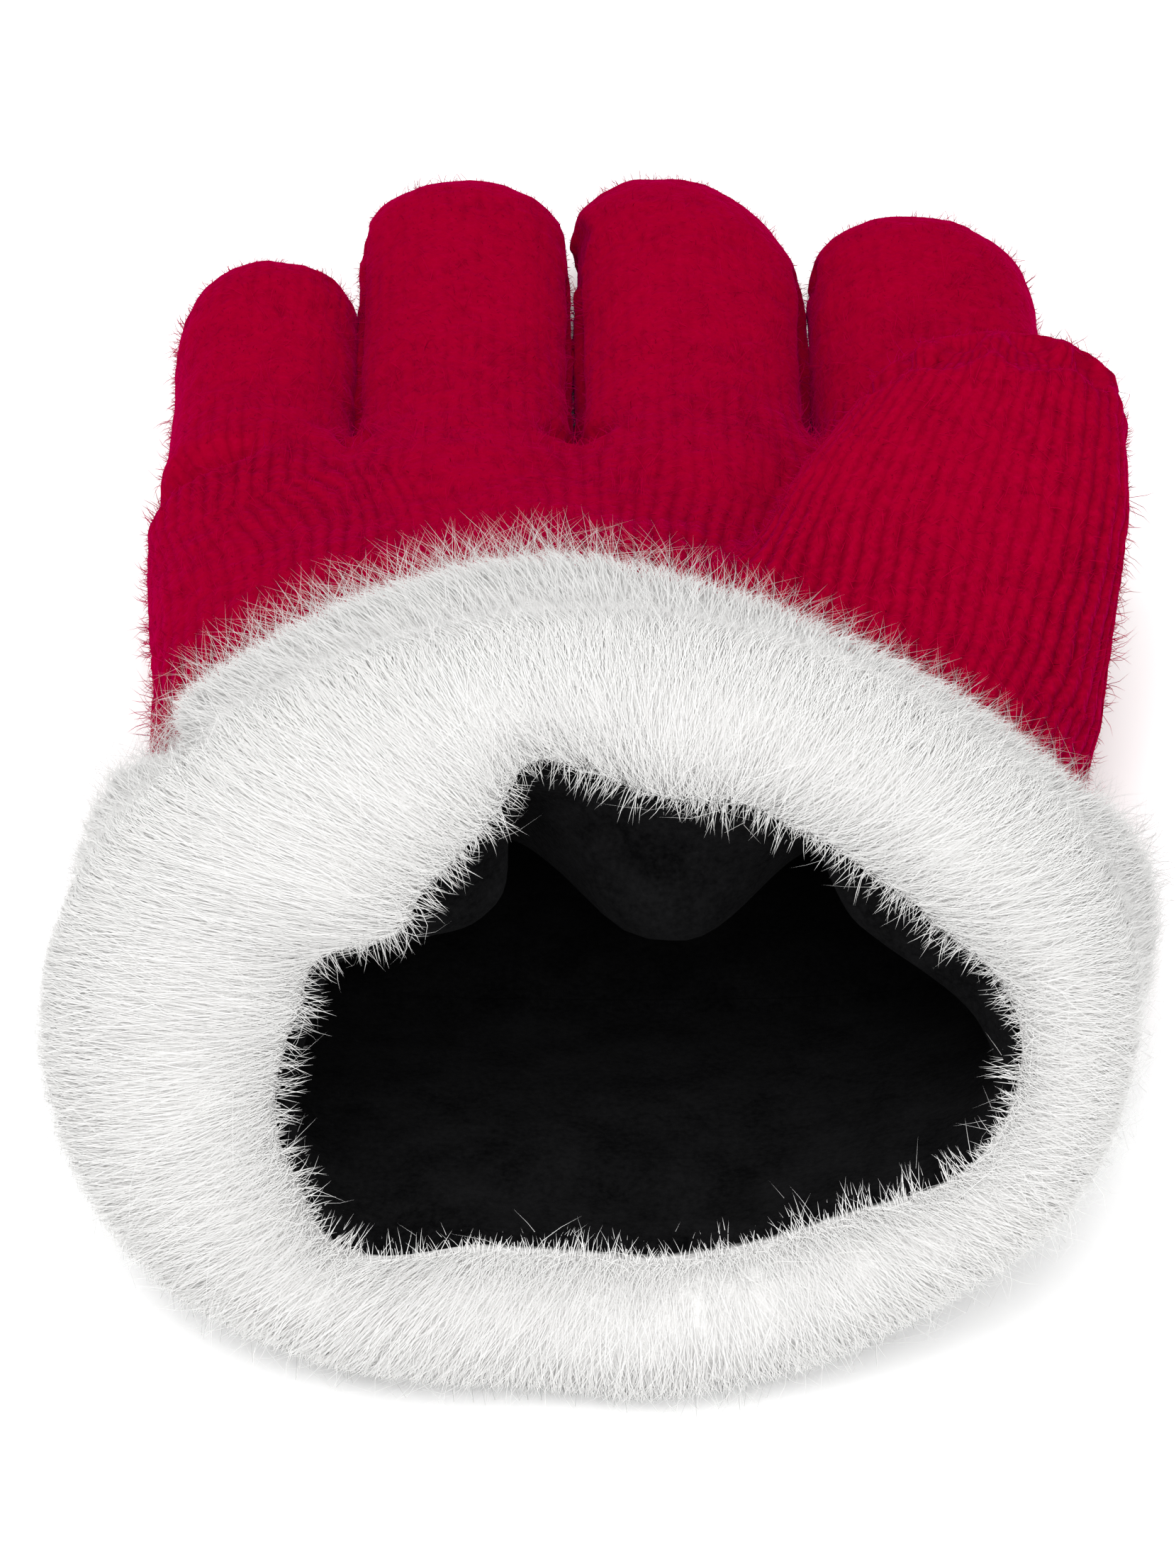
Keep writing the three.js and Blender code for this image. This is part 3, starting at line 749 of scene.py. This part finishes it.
def clock_gap(a, b):
    """Degrees from b to a, the shorter way round."""
    return (a - b + 540) % 360 - 180


def hump(distance, spread):
    """1 in the middle, falling smoothly to 0 at the spread."""
    return (1 + np.cos(math.pi * np.minimum(1, np.abs(distance) / spread))) / 2


def mouth_point(clock, reach, inwards=0.0):
    """A point on the leaning clock face of the mouth, and so far inwards from it."""
    turn = np.radians(clock)
    across = np.cos(turn) * reach
    rise = np.sin(turn) * reach
    deep = inwards * np.ones_like(reach)
    place = MOUTH_MIDDLE + rise[..., None] * MOUTH_UP + deep[..., None] * MOUTH_IN
    place[..., 0] += across
    return place


def oval_point(x, y, z, half, up, down, clock, inset=0.0):
    """A point on a rounded oblong across the glove, flat where it would sink below the table."""
    across, rise = np.cos(np.radians(clock)), np.sin(np.radians(clock))
    side = squared(across, PALM_SQUARENESS) * (half - inset)
    height = squared(rise, PALM_SQUARENESS) * (np.where(rise > 0, up, down) - inset)
    return np.stack(np.broadcast_arrays(x + side, y, np.maximum(z + height, inset)), axis=-1)


def hem_back(clock):
    """How much nearer to the wrist the hem runs at the sides than on top."""
    across = squared(np.cos(np.radians(clock)), PALM_SQUARENESS) - HEM_PEAK
    right = np.minimum(HEM_BACK_RIGHT * np.abs(across) ** 1.4, HEM_FURTHEST)
    return np.where(across > 0, right, HEM_BACK_LEFT * np.abs(across) ** 1.8)


def opening_at(clock):
    """The reach of the opening, with the corners and tufts that the lip has."""
    reach = around_clock(OPENING, clock)
    for place, spread, depth in LIP_TUCKS:
        reach = reach + depth * hump(clock_gap(clock, place), spread)
    return reach


def coat_point(clock, way):
    """The face of the fur at a clock angle and way; before -1 it runs straight on into the sleeve."""
    opening, roll = opening_at(clock), around_clock(ROLL, clock)
    turn = np.pi * np.clip(way, -1, 0)
    half = (roll - opening) / 2
    inwards = np.sin(turn) * np.minimum(half, LIP_DEPTH) + np.maximum(-1 - way, 0) * LIP_LENGTH
    lip = mouth_point(clock, (roll + opening) / 2 + np.cos(turn) * half, inwards)
    crest = mouth_point(clock, roll)
    out = unit(crest - mouth_point(clock, np.zeros_like(roll)))
    hem = oval_point(**HEM, y=HEM_Y - hem_back(clock), clock=clock)
    over = np.maximum(way, 0)
    proud = softened(over, BANDS["way"], BANDS["proud"], (-0.04, -0.02, 0, 0.02, 0.04))
    proud = proud * np.minimum(1, over * 12)
    seam = SIDE_SEAM["depth"] * hump(clock_gap(clock, SIDE_SEAM["clock"]), SIDE_SEAM["spread"])
    raised = proud - seam * np.minimum(1, over * 8)
    behind = crest + (hem - crest) * over[..., None] + out * raised[..., None]
    place = np.where((way < 0)[..., None], lip, behind)
    place[..., 2] = np.maximum(place[..., 2], 0)
    return place


def coat_normal(clock, way):
    along = coat_point(clock, way + 0.02) - coat_point(clock, way - 0.02)
    around = coat_point(clock + 2, way) - coat_point(clock - 2, way)
    return unit(np.cross(along, around))


print("crest on top at", metres(coat_point(np.array([90.0]), np.array([0.0])))[0].round(4))

# %% [markdown]
# ## The pelt under the fur
# Real pile grows from a knitted backing. A ring of loops, each pulled out of the last with extrude, makes
# one closed band a millimetre or two below the face of the fur, so that no gap shows between strands. Past
# the hem it turns under, along the knit to the wrist, and comes back inside the lip.

# %% The pelt
PELT_CLOCKS = 128
LIP_LOOPS, COAT_LOOPS = 17, 33
PILE = {
    "way": (-1.0, -0.7, -0.2, 0.2, 0.36, 0.5, 0.8, 1.0),
    "depth": (0.8, 1.4, 1.7, 1.7, 1.4, 1.6, 1.5, 1.1),
}
PELT_LOWEST = 0.4
WRIST = dict(x=4.0, y=-50.3, z=19.0, half=54.0, up=19.0, down=15.8)
UNDER_HEM = dict(x=3.4, z=19, half=56.8, up=18.2, down=18.2)
ROUND_WRIST = dict(x=4.0, y=-50.0, z=19, half=54.2, up=19.2, down=16)


def lofted_band(name, loops, close):
    """A skin through loops of points, made by extruding a circle from one loop to the next."""
    bm = bmesh.new()
    bmesh.ops.create_circle(bm, segments=len(loops[0]), radius=1)
    ring = list(bm.verts)
    edges = list(bm.edges)
    first_edges = edges
    for vertex, place in zip(ring, loops[0]):
        vertex.co = place
    for loop in loops[1:]:
        made = bmesh.ops.extrude_edge_only(bm, edges=edges)["geom"]
        new = [g for g in made if isinstance(g, bmesh.types.BMVert)]
        edges = [g for g in made if isinstance(g, bmesh.types.BMEdge)]
        for vertex, place in zip(new, loop):
            vertex.co = place
    if close:
        bmesh.ops.bridge_loops(bm, edges=first_edges + edges)
    bmesh.ops.remove_doubles(bm, verts=bm.verts, dist=1e-7)
    bmesh.ops.recalc_face_normals(bm, faces=bm.faces)
    return finished(bm, name)


def pile_depth(way):
    """How far the pelt lies under the face of the fur."""
    return np.interp(way, PILE["way"], PILE["depth"])


clock = np.linspace(0, 360, PELT_CLOCKS, endpoint=False)
ways = np.concatenate((np.linspace(-1, 0, LIP_LOOPS), np.linspace(0, 1, COAT_LOOPS)[1:]))
loops = []
for way in ways:
    here = np.full_like(clock, way)
    place = coat_point(clock, here) - coat_normal(clock, here) * pile_depth(way)
    place[:, 2] = np.maximum(place[:, 2], PELT_LOWEST)
    loops.append(metres(place))
under_hem = np.maximum(HEM_Y - 2 - hem_back(clock), -49)
loops.append(metres(oval_point(**UNDER_HEM, y=under_hem, clock=clock)))
loops.append(metres(oval_point(**ROUND_WRIST, clock=clock)))
near = mouth_point(clock, opening_at(clock) + 0.6)
far = oval_point(**WRIST, clock=clock, inset=2.0)
loops += [metres(near + (far - near) * along) for along in (0.66, 0.33, 0.1)]
pelt = lofted_band("pelt", loops, close=True)

# %% [markdown]
# ## Fur material
# Almost white, with painted shade that greys it a little at the root and more in the crease, each strand a
# slightly different white. Two numbers stored on the points give that, so that it stays with the strands:
# along, from root to tip, and shade, the strand's own tint less the crease's painted shade.

# %% Fur
FUR_TIP = (0.630, 0.626, 0.618, 1)
# The root colour is painted shade: strands deep in the pile, and most of all in the crease, are made greyer
# with it.
FUR_ROOT_AND_CREASE_SHADE = (0.42, 0.417, 0.415, 1)
PELT_GREY = (0.575, 0.570, 0.563, 1)
PELT_WHITE = (0.620, 0.615, 0.607, 1)

fur_material, tree, shader = new_material("white pile", Roughness=0.65, Specular_IOR_Level=0.15)
shade = add_node(tree, "Attribute", attribute_name="shade").outputs["Fac"]
along = add_node(tree, "Attribute", attribute_name="along").outputs["Fac"]
# Painted shade darkens the roots and the crease; the rest of this is each strand's own tint.
tint_and_painted_shade = math_node(tree, "MULTIPLY_ADD", shade, 0.35, math_node(tree, "MULTIPLY", along, 0.65))
coloured(tree, shader, mixed(tree, stretched(tree, tint_and_painted_shade, -1.4, 0.4), FUR_ROOT_AND_CREASE_SHADE, FUR_TIP))

pelt_material, tree, shader = new_material("pelt", Roughness=0.9, Specular_IOR_Level=0.1)
down = noise(tree, 700, 3)
coloured(tree, shader, mixed(tree, down, PELT_GREY, PELT_WHITE))
bumped(tree, shader, down, 0.001, 0.6)
add_piece("fur_pelt", pelt, "fur_cuff", pelt_material)

# %% [markdown]
# ## Combing the fur
# Every strand is drawn in the coat's own coordinates, clock and way, so that it hugs the roll of the lip
# and dips with the crease. The comb tells where it goes: over the lip and back towards the hand. Strands
# lean together in small locks, and those in the crease are painted greyer, as painted shade where the
# near band overhangs them.

# %% How a strand grows
STRAND_POINTS = 4
LOCK_WIDTH = 2.0
LOCK_LENGTH = 12.0
LOCK_CELLS = 128
UNDER_PELT = 0.5  # how far below the pelt's face a strand starts
BEND, RISE = 1.25, 0.75  # powers along a strand: it turns over late and rises early
WAVE, WAVE_SIZE = 0.16, 11.0  # sideways waves as a share of the strand's length, and how large they are
TWIST = 0.15
TO_THE_FRONT = 0.9
# The crease's strands are made greyer by the last number: painted shade under the near band.
CREASE_SHADE = {"way": 0.37, "spread": 0.07, "grey": 4.5}


def way_length(way):
    """Millimetres along the face to one unit of way."""
    return np.where(way < 0, LIP_LENGTH, COAT_LENGTH)


def clock_length(clock, way):
    """Millimetres round the face to one degree."""
    step = coat_point(clock + 1, way) - coat_point(clock - 1, way)
    return np.maximum(np.linalg.norm(step, axis=-1) / 2, 0.2)


def scattered(draw, count, low, high, keep):
    """Random clocks and ways, evenly over the face; keep(clock, way, point) thins what hardly shows."""
    clock = draw.uniform(0, 360, count * 6)
    way = draw.uniform(low, high, count * 6)
    point = coat_point(clock, way)
    chance = clock_length(clock, way) * way_length(way)
    chance = chance * keep(clock, way, point)
    picked = draw.choice(len(clock), count, replace=False, p=chance / chance.sum())
    return clock[picked], way[picked]


def fur_piece(name, clock, way, seed, length, comb, fan, tip_lift, gather, width=0.13, own=0.06):
    """One piece of fur; comb is 1 for strands that run back along the face, 0 across it and -1 inwards."""
    draw = np.random.default_rng(seed)
    count = len(clock)
    per_degree = clock_length(clock, way)
    angle = draw.normal(0, fan, count)
    forward = comb * length * np.cos(angle)
    sidestep = np.sin(angle) * length * (0.35 + 0.65 * np.abs(comb))
    tables = np.random.default_rng(seed + 1).random((2, LOCK_CELLS, LOCK_CELLS))
    across = clock * per_degree.mean() / LOCK_WIDTH
    down = way * way_length(way) / LOCK_LENGTH
    cell = (np.floor(across).astype(int) % LOCK_CELLS, np.floor(down).astype(int) % LOCK_CELLS)
    across = across + tables[1][cell[1], cell[1]]
    cell = (np.floor(across).astype(int) % LOCK_CELLS, cell[1])
    pull = (np.floor(across) + 0.15 + 0.7 * tables[0][cell] - across) * LOCK_WIDTH
    point = coat_point(clock, way)
    sidestep = sidestep + gather * pull + length * WAVE * soft_noise(point, WAVE_SIZE, seed + 2)
    depth = pile_depth(way) + UNDER_PELT
    lines, normals = [], []
    for share in np.linspace(0, 1, STRAND_POINTS):
        bend = share**BEND
        here_way = way + forward * bend / way_length(way)
        here_clock = clock + sidestep * bend / per_degree
        normal = coat_normal(here_clock, here_way)
        lift = -depth + (depth + tip_lift) * share**RISE
        place = coat_point(here_clock, here_way) + normal * lift[:, None]
        place[:, 2] = np.maximum(place[:, 2], 0.05)
        lines.append(place)
        normals.append(normal)
    lines = np.stack(lines, axis=1)
    normal = unit(np.mean(normals, axis=0))
    lit = unit(normal - MOUTH_IN * np.interp(way, (-1.0, -0.5, 0.0), (2.0, 0.5, 0.1))[:, None])
    run = unit(lines[:, -1] - lines[:, 0])
    twist = draw.normal(0, TWIST, count)[:, None]
    facing = unit(normal - MOUTH_IN * TO_THE_FRONT)
    flat = unit(np.cross(run, facing))
    sideways = unit(flat * np.cos(twist) + np.cross(flat, run) * np.sin(twist))
    widths = width * draw.uniform(0.6, 1.25, count)
    # Painted shade: strands in the crease are made greyer.
    shades = draw.random(count) - CREASE_SHADE["grey"] * hump(way - CREASE_SHADE["way"], CREASE_SHADE["spread"])
    mesh = ribbon_mesh(name, lines, widths, sideways, lit, shades, own)
    add_piece(name, mesh, "fur_cuff", fur_material)


def seen_share(clock, way, point):
    """Fewer strands under the glove, where it rests on the table."""
    on_table = np.where(point[..., 2] < 1.0, 0.02, 1.0)
    return on_table * np.interp(np.sin(np.radians(clock)), (-1, -0.3), (0.55, 1.0))


def lip_share(clock, way, point):
    """Many strands at the very edge of the mouth, where the pile ends against the black fleece."""
    return seen_share(clock, way, point) * np.interp(way, (-0.94, -0.9, -0.8), (4.5, 2.0, 1.0))


# %% [markdown]
# The pile rolls over the lip as one coat. At the very rim it isn't combed: short strands that lean into the
# mouth stand among those that run outwards, mixed at random, because a comb that turned there would leave
# a parting all round. A noise gathers the rim's tips into small tufts.

# %% The lip
LIP_STRANDS = 22000

draw = np.random.default_rng(31)
clock, way = scattered(draw, LIP_STRANDS, -1.0, -0.32, lip_share)
inward = draw.random(len(way)) < np.interp(way, (-1.0, -0.9), (0.5, 0.0))
comb = np.where(inward, -0.15, np.interp(way, (-1.0, -0.6), (0.75, 0.95))) + draw.normal(0, 0.12, len(way))
length = draw.uniform(10, 15, len(way)) * np.where(inward, 0.33, np.interp(way, (-1.0, -0.6), (0.75, 1)))
clump = 0.8 + 0.8 * soft_noise(coat_point(clock, way), 3.0, 30)
tip = np.where(inward, 2.1, np.interp(way, (-1.0, -0.5), (1.1, 0.6)))
tip = tip * draw.uniform(0.1, 1.4, len(way)) * clump
fan = np.where(inward, 0.5, 0.17)
fur_piece("fur_lip", clock, way, 32, length, comb, fan, tip, width=0.10, gather=0.6, own=0)

# %% [markdown]
# The two bands are one coat on the real cuff, pressed in at the seam between them. The near band's strands
# get shorter towards the crease, so that they end in it, and the far band starts behind it.

# %% The two bands
NEAR_STRANDS, FAR_STRANDS = 19000, 16000

draw = np.random.default_rng(33)
clock, way = scattered(draw, NEAR_STRANDS, -0.42, 0.25, seen_share)
comb = np.interp(way, (-0.42, -0.2, 0.3), (0.9, 0.95, 1.0)) + draw.normal(0, 0.06, len(way))
length = draw.uniform(12, 17, len(way)) * np.interp(way, (-0.2, 0.27), (1.0, 0.22))
tip = np.interp(way, (-0.4, 0.1, 0.27), (0.5, 0.7, 1.4)) * draw.uniform(0.1, 1.5, len(way))
fur_piece("fur_near_band", clock, way, 34, length, comb, 0.12, tip, gather=0.6, own=0)

draw = np.random.default_rng(35)
clock, way = scattered(draw, FAR_STRANDS, 0.37, 0.97, seen_share)
comb = 0.95 + draw.normal(0, 0.05, len(way))
length = draw.uniform(9, 13, len(way)) * np.interp(way, (0.37, 0.5), (0.7, 1.0))
tip = draw.uniform(0.1, 1.5, len(way))
fur_piece("fur_far_band", clock, way, 36, length, comb, 0.18, tip, gather=0.5, own=0)

# %% [markdown]
# The outline of real pile is ragged: single long hairs stand out past the dense edge, cross each other over
# the knit, and a few stray into the mouth over the black fleece. They get their own thinner strands.

# %% Guard hairs
HEM_HAIRS, GUARD_HAIRS = 5000, 4000

draw = np.random.default_rng(37)
clock, way = scattered(draw, HEM_HAIRS, 0.88, 1.0, seen_share)
comb = 1.0 + draw.normal(0, 0.08, len(way))
length = draw.uniform(7, 16, len(way))
tip = draw.uniform(0.5, 7.5, len(way))
fur_piece("fur_hem_hairs", clock, way, 38, length, comb, 0.40, tip, width=0.085, gather=0.4)

draw = np.random.default_rng(39)
clock, way = scattered(draw, GUARD_HAIRS, -0.99, 0.25, seen_share)
comb = np.interp(way, (-0.96, -0.93, -0.7), (-0.4, 0.5, 0.9)) + draw.normal(0, 0.15, len(way))
length = draw.uniform(10, 17, len(way)) * np.interp(way, (0.0, 0.25), (1.0, 0.45))
tip = draw.uniform(1.0, 4.2, len(way))
fur_piece("fur_guard_hairs", clock, way, 40, length, comb, 0.45, tip, width=0.06, gather=0.8)

# %% [markdown]
# ## The fleece sleeve
# The lining hangs from the lip into the wrist. Loose cloth sags from the top in a wide bulge, with a sharp
# pleat on its left, and a strip stands along the right side. The sleeve is lofted finely, loop by loop,
# and each fold moves its points towards or away from the middle. Solidify gives it the fleece's thickness.

# %% Sleeve folds
SLEEVE_CLOCKS = 160
SLEEVE_LOOPS = 60
FLEECE_WALL = 1.5
SLEEVE_INSET = 0.4
STALL_INSET = 0.8
LUMP_HEIGHT, LUMP_SIZE = 0.35, 7.0
FOLDS = [
    # clock: its place; spread: to either side; depth; to: the clock angle it is pushed to;
    # along: the shares of the way in where it starts, is deepest and ends
    {"clock": 88, "spread": (29, 23), "depth": 13.5, "to": 272, "along": (0.02, 0.34, 1.0)},
    {"clock": 140, "spread": (26, 32), "depth": 8.5, "to": 322, "along": (0.0, 0.22, 0.8)},
    {"clock": 24, "spread": (48, 30), "depth": 6.0, "to": 204, "along": (0.0, 0.12, 0.30)},
    {"clock": 186, "spread": (24, 22), "depth": 3.5, "to": 0, "along": (0.0, 0.25, 0.9)},
    {"clock": 262, "spread": (40, 40), "depth": 1.6, "to": 90, "along": (0.05, 0.45, 1.0)},
]
SHELF_EDGE = 0.95  # the share of a fold's spread that its slope takes


def shelf(gap, below, above):
    """1 on a flat shelf, falling smoothly at its two edges."""
    share = 1 - np.abs(gap) / np.where(gap < 0, below, above)
    share = np.clip(share / SHELF_EDGE, 0, 1)
    return share * share * (3 - 2 * share)


def sleeve_point(clock, along, inset):
    """The sleeve's cloth at a clock angle and share of the way in, with its folds."""
    near = mouth_point(clock, opening_at(clock) - inset)
    far = oval_point(**WRIST, clock=clock, inset=KNIT_WALL + inset)
    place = near + (far - near) * along
    for fold in FOLDS:
        start, deepest, end = fold["along"]
        length = hump(along - deepest, deepest - start if along < deepest else end - deepest)
        width = shelf(clock_gap(clock, fold["clock"]), *fold["spread"])
        turn = math.radians(fold["to"])
        push = math.cos(turn) * np.array((1, 0, 0)) + math.sin(turn) * MOUTH_UP
        place += (fold["depth"] * width * length)[:, None] * push
    return place


clock = np.linspace(0, 360, SLEEVE_CLOCKS, endpoint=False)
loops = []
for along in np.linspace(0, 1.0, SLEEVE_LOOPS):
    place = sleeve_point(clock, along, SLEEVE_INSET)
    place += LUMP_HEIGHT * unit(place - MOUTH_MIDDLE) * soft_noise(place, LUMP_SIZE, 41)[:, None]
    loops.append(metres(place))
for y in (-48.0, -44.0, -40.0):
    loops.append(metres(oval_point(**{**WRIST, "y": y}, clock=clock, inset=KNIT_WALL + STALL_INSET)))
sleeve = lofted_band("sleeve", loops, close=False)
sleeve = with_modifiers(sleeve, ("SOLIDIFY", {"thickness": FLEECE_WALL / 1000, "offset": 0}))
print("sleeve", len(sleeve.polygons), "faces")

# %% [markdown]
# Fleece swallows light: its colour is nearly black, with a faint grey nap in patches and a trace of sheen.

# %% Fleece
FLEECE_DEEP = (0.0004, 0.0004, 0.0005, 1)
FLEECE_BLACK = (0.0048, 0.0048, 0.0051, 1)

fleece_material, tree, shader = new_material(
    "black fleece",
    Roughness=1.0,
    Sheen_Weight=0.008,
    Sheen_Roughness=0.6,
    Sheen_Tint=(0.8, 0.8, 0.85, 1),
    Specular_IOR_Level=0.03,
)
fibres = noise(tree, 1400, 3)
patches = noise(tree, 160, 2)
pile = math_node(tree, "MULTIPLY_ADD", patches, 0.5, math_node(tree, "MULTIPLY", fibres, 0.5))
coloured(tree, shader, mixed(tree, stretched(tree, pile, 0.35, 0.65), FLEECE_DEEP, FLEECE_BLACK))
bumped(tree, shader, pile, 0.0006, 0.9)
add_piece("fleece_sleeve", sleeve, "fleece_lining", fleece_material)

# %% [markdown]
# Past the wrist the lining goes on into the stalls, where no one looks. A cut through the solid lining keeps
# that part as it is.

# %% Fleece inside the hand
CUT_Y = -49.0
bm = bmesh.new()
bm.from_mesh(merged_copy("fleece_lining"))
everything = list(bm.verts) + list(bm.edges) + list(bm.faces)
cut = dict(plane_co=metres((0, CUT_Y, 0)), plane_no=(0, 1, 0))
bmesh.ops.bisect_plane(bm, geom=everything, dist=1e-6, clear_inner=True, **cut)
add_piece("fleece_stalls", finished(bm, "stalls"), "fleece_lining", fleece_material)

# %% [markdown]
# ## Floor, lights and colour
# A white sweep under a wide soft light, with a bright dome all round, gives the pale ground and the thin
# grey shadow that hugs the glove. The Standard view keeps the red as deep as it is in the photograph.

# %% Studio
FLOOR_HALF = 3.0
FLOOR_GREY = (0.96, 0.96, 0.96, 1)
FLOOR_WHITE = (0.97, 0.97, 0.97, 1)
DOME_STRENGTH = 0.80
LIGHT_AIM = Vector((0, -0.03, 0.03))
LIGHTS = [
    # name, place, size, watts
    ("top light", (-0.20, -0.40, 0.95), 0.9, 9.5),
    ("front light", (0.20, -0.95, 0.80), 0.6, 6.5),
]

bm = bmesh.new()
bmesh.ops.create_grid(bm, x_segments=1, y_segments=1, size=FLOOR_HALF)
floor = bpy.data.objects.new("floor", finished(bm, "floor"))
link(floor)
floor_material, tree, shader = new_material("white sweep", Roughness=0.9, Specular_IOR_Level=0.1)
coloured(tree, shader, mixed(tree, noise(tree, 3, 1), FLOOR_GREY, FLOOR_WHITE))
floor.data.materials.append(floor_material)

world = bpy.data.worlds.new("dome")
bpy.context.scene.world = world
world.use_nodes = True
background = world.node_tree.nodes["Background"]
background.inputs["Color"].default_value = (1, 1, 1, 1)
background.inputs["Strength"].default_value = DOME_STRENGTH

for name, place, size, watts in LIGHTS:
    data = bpy.data.lights.new(name, "AREA")
    data.size = size
    data.energy = watts
    light = bpy.data.objects.new(name, data)
    light.location = place
    light.rotation_euler = (LIGHT_AIM - Vector(place)).to_track_quat("-Z", "Y").to_euler()
    link(light)
    print(name, watts, "W at", place)

view = bpy.context.scene.view_settings
view.view_transform = "Standard"
view.look = "None"
view.exposure = 0
view.gamma = 1
